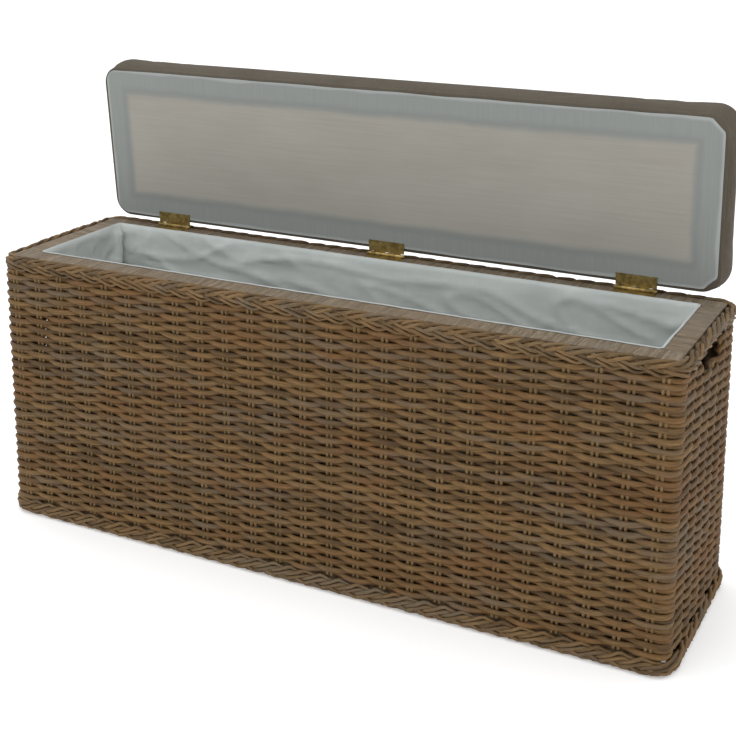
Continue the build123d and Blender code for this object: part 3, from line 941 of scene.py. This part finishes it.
def build_cushion():
    """The upholstered lid: a boxed cushion, swollen by a cloth simulation over its flat board."""
    edge = 0.010  # of the seat, rounded
    profile = [  # height above the underside, inset
        (0.0008, 0.0036), (0.0035, 0.0020), (0.012, -0.0016), (0.024, -0.0050), (0.038, -0.0062),
        (0.052, -0.0054), (LID_HEIGHT - edge, -0.0020), (LID_HEIGHT - edge * 0.4, edge * 0.25),
        (LID_HEIGHT - 0.0015, edge),
    ]
    work = bmesh.new()
    rings_made = add_rings(work, profile, lambda inset: LID_CORNER - inset * 0.5)
    work.faces.new(rings_made[0][::-1])
    work.faces.new(rings_made[-1])
    mesh = bpy.data.meshes.new("upholstered_lid")
    work.to_mesh(mesh)
    work.free()
    cushion = add_object("upholstered_lid", mesh)
    remesh = cushion.modifiers.new("remesh", "REMESH")
    remesh.mode = "VOXEL"
    remesh.voxel_size = 0.005
    bake_modifiers(cushion)
    swell(cushion, read_points(cushion))
    add_hem(cushion)
    return cushion


def add_hem(cushion):
    """Adds the cover's lower edge, drawn tight round the board and turned under it."""
    profile = [  # height above the underside, inset
        (0.0006, 0.028), (0.0006, 0.0012), (0.0012, 0.0003), (0.0070, 0.0002), (0.0130, 0.0004),
        (BOARD_TOP, 0.0010), (BOARD_TOP, 0.0040), (0.0060, 0.0045), (0.0016, 0.0050), (0.0016, 0.028),
    ]
    work = bmesh.new()
    work.from_mesh(cushion.data)
    add_rings(work, profile, lambda inset: max(LID_CORNER - inset, 0.004), closed=True)
    work.to_mesh(cushion.data)
    work.free()


def read_points(piece):
    co = np.zeros(len(piece.data.vertices) * 3)
    piece.data.vertices.foreach_get("co", co)
    return co.reshape(-1, 3)


def write_points(piece, points):
    piece.data.vertices.foreach_set("co", np.asarray(points, float).ravel())
    piece.data.update()


def bake_modifiers(piece):
    """Applies a piece's modifiers to its mesh."""
    graph = bpy.context.evaluated_depsgraph_get()
    made = bpy.data.meshes.new_from_object(piece.evaluated_get(graph))
    piece.modifiers.clear()
    old = piece.data
    piece.data = made
    made.name = piece.name
    bpy.data.meshes.remove(old)


def swell(piece, rest):
    """Lets air pressure swell the cloth, with its flat underside held."""
    held_below = 0.006
    held = piece.vertex_groups.new(name="held")
    held.add([int(i) for i in np.nonzero(rest[:, 2] < held_below)[0]], 1.0, "REPLACE")
    cloth = piece.modifiers.new("cloth", "CLOTH")
    cloth.settings.use_pressure = True
    cloth.settings.uniform_pressure_force = 4.0
    cloth.settings.vertex_group_mass = "held"
    cloth.settings.effector_weights.gravity = 0.0
    cloth.settings.quality = 6
    cloth.settings.mass = 0.4
    cloth.settings.tension_stiffness = 20
    cloth.settings.compression_stiffness = 20
    cloth.settings.bending_stiffness = 1.5
    cloth.collision_settings.use_collision = False
    scene = bpy.context.scene
    for step in range(1, 21):
        scene.frame_set(step)
    bake_modifiers(piece)
    moved = read_points(piece) - rest
    # the boxing keeps its outline: it may fill out, but hardly draws in
    drawn_in = moved[:, :2] * (rest[:, :2] - (0, LID_MIDDLE)) < 0
    moved[:, :2] *= np.where(drawn_in, DRAWN_IN_KEPT, 1.0)
    size = np.linalg.norm(moved, axis=1, keepdims=True)
    write_points(piece, rest + moved * np.minimum(1.0, SWELL_CAP / np.maximum(size, 1e-9)))
    scene.frame_set(1)


cushion = build_cushion()
points = read_points(cushion)
cloth = np.stack([points[:, 0], points[:, 1] + points[:, 2], np.zeros(len(points))], 1)
set_vectors(cushion.data, "cloth", cloth)
cushion.data.transform(LID)
cushion.data.materials.clear()
cushion.data.materials.append(COVER)
cushion.data.shade_smooth()
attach(cushion, "lid")
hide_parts("seat_cover", "foam_pad")


# ---- dust cover ----
def dust_material():
    """Thin pale cloth over the board, doubled to a band round the edge where it is turned under, with a
    painted shadow line where the band ends, and lighter along its very edge.
    """
    g = Graph("dust_cloth")
    place_on = g.attribute("cloth")
    edge = g.part(place_on, 2)
    grain = g.noise(place_on, (8, 260, 1), 4.0, 0.6)
    cross = g.noise(place_on, (260, 8, 1), 3.0, 0.6)
    blotch = g.noise(place_on, (5, 9, 1), 3.0, 0.6)
    wobble = g.noise(place_on, (9, 9, 1), 2.0)
    edge = g.total((edge, 1), (g.math("SUBTRACT", wobble, 0.5), 0.012))
    level = g.total((grain, 0.5), (blotch, 0.5))
    panel = g.mix(g.span(level, 0.25, 0.75), (0.300, 0.283, 0.248), (0.346, 0.329, 0.292))
    band = g.mix(g.span(cross, 0.1, 0.9), (0.236, 0.249, 0.238), (0.266, 0.279, 0.267))
    # painted shadow: a darker line along the inner edge of the doubled band, where the turned-under layer
    # ends
    painted_fold_shadow = g.mix(g.span(edge, 0.024, 0.036), band, (0.228, 0.239, 0.228))
    colour = g.mix(g.span(edge, 0.034, 0.048), painted_fold_shadow, panel)
    rim = g.span(edge, 0.001, 0.006, 0.8, 0.0)
    colour = g.mix(rim, colour, (0.36, 0.378, 0.37))
    normal = g.bump(g.math("ADD", grain, cross), 0.25, 0.0006)
    return g.finish(colour, 0.95, normal, 0.1)


DUST = dust_material()


def build_dust_cover():
    """A stretched sheet, with its corners cut straight across at the right and rounded at the left."""
    half_x = LID_WIDTH / 2 - COVER_INSET
    half_d = LID_DEPTH / 2 - COVER_INSET
    cell = 0.006
    nx, nd = int(2 * half_x / cell), int(2 * half_d / cell)
    points, cloth = [], []
    for j in range(nd + 1):
        for i in range(nx + 1):
            x = -half_x + 2 * half_x * i / nx
            d = -half_d + 2 * half_d * j / nd
            ax, ad = half_x - abs(x), half_d - abs(d)
            if x > 0 and ax + ad < COVER_CUT:
                push = (COVER_CUT - ax - ad) / 2
                x -= push
                d -= math.copysign(push, d)
            elif x < 0 and ax < COVER_CUT and ad < COVER_CUT:
                rx, rd = COVER_CUT - ax, COVER_CUT - ad
                shrink = max(rx, rd) / math.hypot(rx, rd)
                x = -(half_x - COVER_CUT + rx * shrink)
                d = math.copysign(half_d - COVER_CUT + rd * shrink, d)
            ax, ad = half_x - abs(x), half_d - abs(d)
            inner = min(ax, ad)
            if x > 0:
                inner = min(inner, (ax + ad - COVER_CUT) * math.sqrt(0.5))
            near_edge = 1 if inner < 0.04 else 0.25
            wave = 0.0011 * noise.noise(Vector((x * 9, d * 14, 1)))
            wave += 0.0009 * near_edge * abs(noise.noise(Vector((x * 40, d * 40, 5))))
            ridge = 0.0012 * math.exp(-(((inner - 0.036) / 0.004) ** 2))
            hem = 0.0011 * math.exp(-((inner / 0.006) ** 2))
            height = 0.0002 - 0.3 * (ridge + hem + wave)
            wobble = 0.0015 * noise.noise(Vector((x * 14, d * 14, 3))) if inner < 0.002 else 0
            points.append(tuple(LID @ Vector((x, LID_MIDDLE + d + wobble, height))))
            cloth.append((x, d, inner))
    faces = grid_faces(nd, nx, nx + 1)
    return new_piece(
        "lid_dust_cover", points, faces, DUST, "lid", ["dust_cover"], {"cloth": cloth}
    )


dust_cover = build_dust_cover()


# ---- materials of the CAD pieces that stay ----
CANE_BACKING = timber_material("rim_board_edge", (0.05, 0.035, 0.02), (0.10, 0.07, 0.045), (3, 22, 22))
FINISHES = {"stakes": STAKES, "hinge": BRASS, "rim_board": CANE_BACKING, "base_panel": PLY, "lid_board": PLY}


def finish_of(node):
    """A kept piece's material, by the start of its name. The frame's rails and posts are timber."""
    return next((finish for start, finish in FINISHES.items() if node.startswith(start)), TIMBER)


for name, node in nodes.items():
    if not node.hide_render:
        node.data.materials.clear()
        node.data.materials.append(finish_of(name))


# ---- floor, light and camera ----
def build_stage():
    mesh = bpy.data.meshes.new("floor")
    reach = 30.0
    square = ((-reach, -reach), (reach, -reach), (reach, reach), (-reach, reach))
    mesh.from_pydata([(x, y, 0) for x, y in square], [], [(0, 1, 2, 3)])
    floor = add_object("floor", mesh)
    g = Graph("pale_floor")
    tone = g.noise(g.place(), (2, 2, 2))
    g.shader.inputs["Emission Color"].default_value = (1, 1, 1, 1)
    g.shader.inputs["Emission Strength"].default_value = FLOOR_GLOW
    colour = g.mix(tone, (0.93, 0.93, 0.93), (0.95, 0.95, 0.95))
    mesh.materials.append(g.finish(colour, 0.9, None, 0.0))
    floor.location.z = -0.0005


def aim(thing, place_at, direction):
    """Puts a light or a camera in its place and turns it to look along a direction."""
    thing.location = place_at
    thing.rotation_mode = "QUATERNION"
    thing.rotation_quaternion = direction.to_track_quat("-Z", "Y")


def build_light():
    light = bpy.data.lights.new("overhead", "AREA")
    light.shape = "RECTANGLE"
    light.size, light.size_y = 3.2, 2.4
    light.energy = 22
    place_at, target = Vector((-0.5, -0.3, 2.6)), Vector((0, 0, 0.3))
    aim(add_object("overhead", light), place_at, target - place_at)


def build_camera():
    back = Vector((
        math.sin(CAMERA_AZIMUTH) * math.cos(CAMERA_ELEVATION),
        -math.cos(CAMERA_AZIMUTH) * math.cos(CAMERA_ELEVATION),
        math.sin(CAMERA_ELEVATION),
    ))
    data = bpy.data.cameras.new("camera")
    data.lens = CAMERA_LENS
    data.sensor_width = 36
    data.shift_y = CAMERA_SHIFT
    camera = add_object("camera", data)
    aim(camera, CAMERA_PLACE, -back)
    bpy.context.scene.camera = camera


build_stage()
world = bpy.data.worlds.new("studio")
world.use_nodes = True
world.node_tree.nodes["Background"].inputs["Color"].default_value = (0.98, 0.99, 1.0, 1)
world.node_tree.nodes["Background"].inputs["Strength"].default_value = 1.06
bpy.context.scene.world = world
build_light()
build_camera()
bpy.context.scene.view_settings.view_transform = "Standard"
